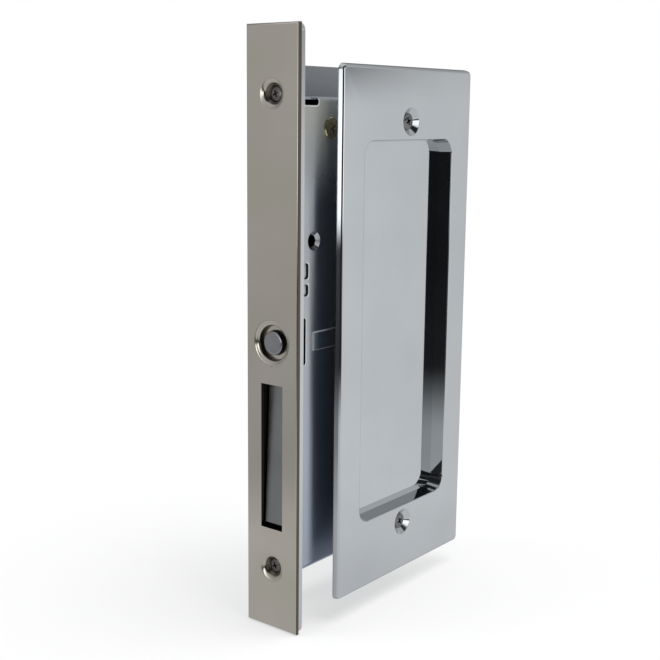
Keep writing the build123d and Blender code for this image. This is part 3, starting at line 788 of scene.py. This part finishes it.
def makePulls(pull):
    near = makeNearPull(pull)
    selectOnly(near)
    bpy.ops.object.duplicate()
    far = bpy.context.object
    bpy.ops.object.mode_set(mode="EDIT")
    bpy.ops.mesh.select_all(action="SELECT")
    bpy.ops.transform.resize(value=(1, -1, 1), center_override=(0, 0, 0))
    bpy.ops.mesh.normals_make_consistent(inside=False)
    bpy.ops.object.mode_set(mode="OBJECT")
    finishPiece(near, "nearPull", "near_pull", pull["smooth"])
    finishPiece(far, "farPull", "far_pull", pull["smooth"])
    return near, far


nearPull, farPull = makePulls(flushPull)
madePieces = [
    (makeTrimPlate(trimPlate), satinNickel),
    (makeButtonBezel(buttonBezel), satinNickel),
    (makePushButton(pushButton), buttonNickel),
    (makeScrews(trimScrews, "trimScrews", "trim_screws"), paintedShadeScrewNickel),
    (makeScrews(pullScrews, "pullScrews", "pull_screws"), paintedShadeScrewChrome),
    (makeButtonSpring(buttonSpring), springSteel),
    (nearPull, mirrorChrome),
    (farPull, farChrome),
]

finishOf = {
    "trim_plate": satinNickel,
    "button_bezel": satinNickel,
    "push_button": buttonNickel,
    "trim_screws": paintedShadeScrewNickel,
    "forend_plate": forendZinc,
    "case_pan": caseZinc,
    "case_cover": caseZinc,
    "pull_bracket": blackSteel,
    "case_posts": zincPlate,
    "forend_rivets": zincPlate,
    "catch_lever": zincPlate,
    "pull_pin": springSteel,
    "stop_pin": springSteel,
    "catch_pin": springSteel,
    "button_spring": springSteel,
    "pull_spring": springSteel,
    "catch_spring": springSteel,
    "edge_pull": satinZinc,
    "case_screws": yellowZinc,
    "near_pull": mirrorChrome,
    "far_pull": mirrorChrome,
    "pull_screws": mirrorChrome,
    "sleeve_nuts": mirrorChrome,
}
dressed = [(nodes[name], material) for name, material in finishOf.items()] + madePieces
for piece, material in dressed:
    piece.data.materials.clear()
    piece.data.materials.append(material)
print("finishes set on", len(finishOf), "nodes and", len(madePieces), "new pieces")


# pale floor, whitened towards its rim; the polished metal mirrors the studio instead
floorDisc = {
    "radius": 0.9,
    "sides": 96,
    "below": 0.0004,
    "colour": (0.9, 0.9, 0.9, 1),
    "rough": 0.8,
    "fade": (0.05, 0.32),
    "glow": 0.6,
}


def addFloor(disc):
    bpy.ops.object.select_all(action="DESELECT")
    height = cadBox[0][2] - disc["below"]
    bpy.ops.mesh.primitive_circle_add(
        vertices=disc["sides"], radius=disc["radius"], fill_type="NGON", location=(0, 0, height)
    )
    floor = bpy.context.object
    floor.name = "floor"
    material, tree, shader = newMaterial("paleFloor")
    shader.inputs["Base Color"].default_value = disc["colour"]
    shader.inputs["Roughness"].default_value = disc["rough"]
    coords = tree.nodes.new("ShaderNodeTexCoord")
    far = tree.nodes.new("ShaderNodeVectorMath")
    far.operation = "LENGTH"
    tree.links.new(coords.outputs["Object"], far.inputs[0])
    white = tree.nodes.new("ShaderNodeEmission")
    mixed = tree.nodes.new("ShaderNodeMixShader")
    whiter = spanNode(tree, far.outputs["Value"], *disc["fade"], disc["glow"])
    tree.links.new(whiter, mixed.inputs["Fac"])
    tree.links.new(shader.outputs["BSDF"], mixed.inputs[1])
    tree.links.new(white.outputs["Emission"], mixed.inputs[2])
    tree.links.new(mixed.outputs["Shader"], tree.nodes["Material Output"].inputs["Surface"])
    floor.data.materials.append(material)
    floor.visible_glossy = False


addFloor(floorDisc)

softboxes = [
    {"place": (0.25, -0.45, 1.25), "aim": (0.05, -0.05, -0.1), "size": 1.1, "watts": 15},
    {"place": (-0.55, 0.55, 0.95), "aim": (0, 0, 0), "size": 0.6, "watts": 3},
]


def addSoftbox(box):
    bpy.ops.object.light_add(type="AREA", location=box["place"])
    lamp = bpy.context.object
    lamp.data.shape = "DISK"
    lamp.data.size = box["size"]
    lamp.data.energy = box["watts"]
    lamp.rotation_mode = "QUATERNION"
    lamp.rotation_quaternion = (Vector(box["aim"]) - Vector(box["place"])).to_track_quat("-Z", "Y")
    lamp.visible_glossy = False


for box in softboxes:
    addSoftbox(box)
print("floor laid and", len(softboxes), "softboxes hung")

# what the polished metal sees: rings of the room, each a height and its brightness by bearing in degrees
studio = {
    "rings": [
        (-0.40, [
            (-180, 0.6), (-166, 0.75), (-118, 0.75), (-105, 0.8), (-38, 0.8), (20, 0.55), (90, 0.55),
            (125, 0.58), (142, 0.6), (160, 0.6), (180, 0.6),
        ]),
        (-0.345, [
            (-180, 0.6), (-166, 0.8), (-118, 0.8), (-105, 0.85), (-38, 0.9), (20, 0.5), (90, 0.5),
            (125, 0.65), (142, 0.67), (160, 0.6), (180, 0.6),
        ]),
        (-0.318, [
            (-180, 0.5), (-166, 0.8), (-118, 0.8), (-105, 0.88), (-38, 0.95), (20, 0.42), (90, 0.4),
            (125, 0.42), (142, 0.43), (160, 0.45), (180, 0.5),
        ]),
        (-0.275, [
            (-180, 0.3), (-166, 0.78), (-118, 0.78), (-105, 0.9), (-38, 0.96), (10, 0.4), (25, 0.3),
            (90, 0.28), (120, 0.44), (142, 0.45), (152, 0.42), (163, 0.3), (180, 0.3),
        ]),
        (-0.215, [
            (-180, 0.05), (-166, 0.03), (-100, 0.03), (-90, 0.85), (-60, 0.92), (-38, 0.94), (10, 0.4),
            (25, 0.14), (85, 0.14), (115, 0.47), (142, 0.49), (152, 0.4), (163, 0.06), (180, 0.05),
        ]),
        (-0.12, [
            (-180, 0.05), (-166, 0.02), (-118, 0.02), (-112, 0.5), (-98, 0.5), (-90, 0.9), (-60, 0.92),
            (-38, 0.94), (10, 0.4), (25, 0.08), (85, 0.08), (115, 0.5), (142, 0.52), (152, 0.42),
            (163, 0.1), (180, 0.05),
        ]),
        (-0.085, [
            (-180, 2.0), (-172, 2.0), (-166, 0.02), (-118, 0.02), (-113, 1.8), (-98, 1.8), (-88, 0.9),
            (-60, 0.92), (-38, 0.94), (10, 0.4), (25, 0.06), (85, 0.06), (115, 0.5), (142, 0.53),
            (152, 0.62), (163, 2.0), (180, 2.0),
        ]),
        (0.0, [
            (-180, 2.2), (-172, 2.2), (-166, 0.02), (-118, 0.02), (-113, 1.8), (-98, 1.8), (-88, 0.9),
            (-60, 0.9), (-38, 0.92), (10, 0.4), (25, 0.06), (85, 0.06), (115, 0.5), (142, 0.535),
            (152, 0.65), (163, 2.2), (180, 2.2),
        ]),
        (0.05, [
            (-180, 1.6), (-172, 1.6), (-166, 0.02), (-118, 0.02), (-113, 1.8), (-98, 1.8), (-88, 0.4),
            (-46, 0.25), (-38, 0.32), (-33, 0.8), (10, 0.4), (25, 0.08), (85, 0.08), (115, 0.5),
            (142, 0.54), (163, 1.6), (180, 1.6),
        ]),
        (0.10, [
            (-180, 1.6), (-172, 1.6), (-166, 0.02), (-118, 0.02), (-113, 1.8), (-98, 1.8), (-88, 0.4),
            (-46, 0.25), (-38, 0.3), (-30, 0.5), (10, 0.4), (25, 0.08), (85, 0.08), (115, 0.5),
            (142, 0.54), (163, 1.6), (180, 1.6),
        ]),
        (0.16, [
            (-180, 0.8), (-166, 0.05), (-118, 0.05), (-113, 1.8), (-98, 1.8), (-88, 0.9), (-38, 0.95),
            (0, 0.8), (30, 0.2), (90, 0.2), (142, 0.5), (180, 0.8),
        ]),
        (0.35, [
            (-180, 0.6), (-166, 0.1), (-118, 0.1), (-113, 1.6), (-98, 1.6), (-88, 0.6), (-38, 0.6),
            (30, 0.2), (90, 0.2), (142, 0.5), (180, 0.6),
        ]),
        (0.45, [
            (-180, 0.6), (-168, 0.03), (-118, 0.03), (-112, 0.8), (-98, 0.8), (-90, 0.1), (-64, 0.1),
            (-50, 0.62), (-38, 0.62), (30, 0.3), (90, 0.3), (180, 0.6),
        ]),
        (0.52, [
            (-180, 0.6), (-168, 0.03), (-64, 0.03), (-50, 0.65), (-38, 0.65), (30, 0.4), (90, 0.4),
            (180, 0.6),
        ]),
        (0.60, [
            (-180, 0.6), (-168, 0.03), (-112, 0.03), (-108, 2.4), (-98, 2.4), (-94, 0.03), (-62, 0.03),
            (-48, 0.7), (30, 0.5), (90, 0.5), (180, 0.6),
        ]),
        (0.68, [
            (-180, 0.6), (-168, 0.03), (-62, 0.03), (-48, 0.7), (30, 0.6), (90, 0.6), (180, 0.6),
        ]),
        (0.90, [(-180, 0.8), (-165, 0.05), (-75, 0.05), (-50, 0.85), (180, 0.8)]),
        (0.97, [(-180, 0.95), (180, 0.95)]),
    ],
    "gain": 2.5,  # the ramps hold brightness as a share of this
    "tint": (0.97, 0.985, 1.0, 1),
    "backdrop": (1, 1, 1, 1),  # what the camera sees behind the object
    "backdropLight": 1.0,
}
halfTurn = 180
fullTurn = 360


def bearingRamp(tree, turn, stops, gain):
    shares = [((at + halfTurn) / fullTurn, level / gain) for at, level in stops]
    return colourRamp(tree, turn, [(at, (share, share, share, 1)) for at, share in shares])


def setStudio(room):
    world = bpy.data.worlds.new("studio")
    bpy.context.scene.world = world
    world.use_nodes = True
    tree = world.node_tree
    background = tree.nodes["Background"]
    ray = coordParts(tree, "Generated")
    bearing = mathNode(tree, "DEGREES", mathNode(tree, "ARCTAN2", ray["Y"], ray["X"]))
    turn = mathNode(tree, "DIVIDE", mathNode(tree, "ADD", bearing, halfTurn), fullTurn)
    height, stops = room["rings"][0]
    level = bearingRamp(tree, turn, stops, room["gain"])
    for above, stops in room["rings"][1:]:
        rise = spanNode(tree, ray["Z"], height, above)
        level = blendNode(tree, "RGBA", rise, level, bearingRamp(tree, turn, stops, room["gain"]))
        height = above
    background.inputs["Color"].default_value = room["tint"]
    tree.links.new(mathNode(tree, "MULTIPLY", level, room["gain"]), background.inputs["Strength"])
    backdrop = tree.nodes.new("ShaderNodeBackground")
    backdrop.inputs["Color"].default_value = room["backdrop"]
    backdrop.inputs["Strength"].default_value = room["backdropLight"]
    seen = tree.nodes.new("ShaderNodeLightPath")
    mixed = tree.nodes.new("ShaderNodeMixShader")
    tree.links.new(seen.outputs["Is Camera Ray"], mixed.inputs["Fac"])
    tree.links.new(background.outputs["Background"], mixed.inputs[1])
    tree.links.new(backdrop.outputs["Background"], mixed.inputs[2])
    tree.links.new(mixed.outputs["Shader"], tree.nodes["World Output"].inputs["Surface"])


setStudio(studio)
print("studio lit")
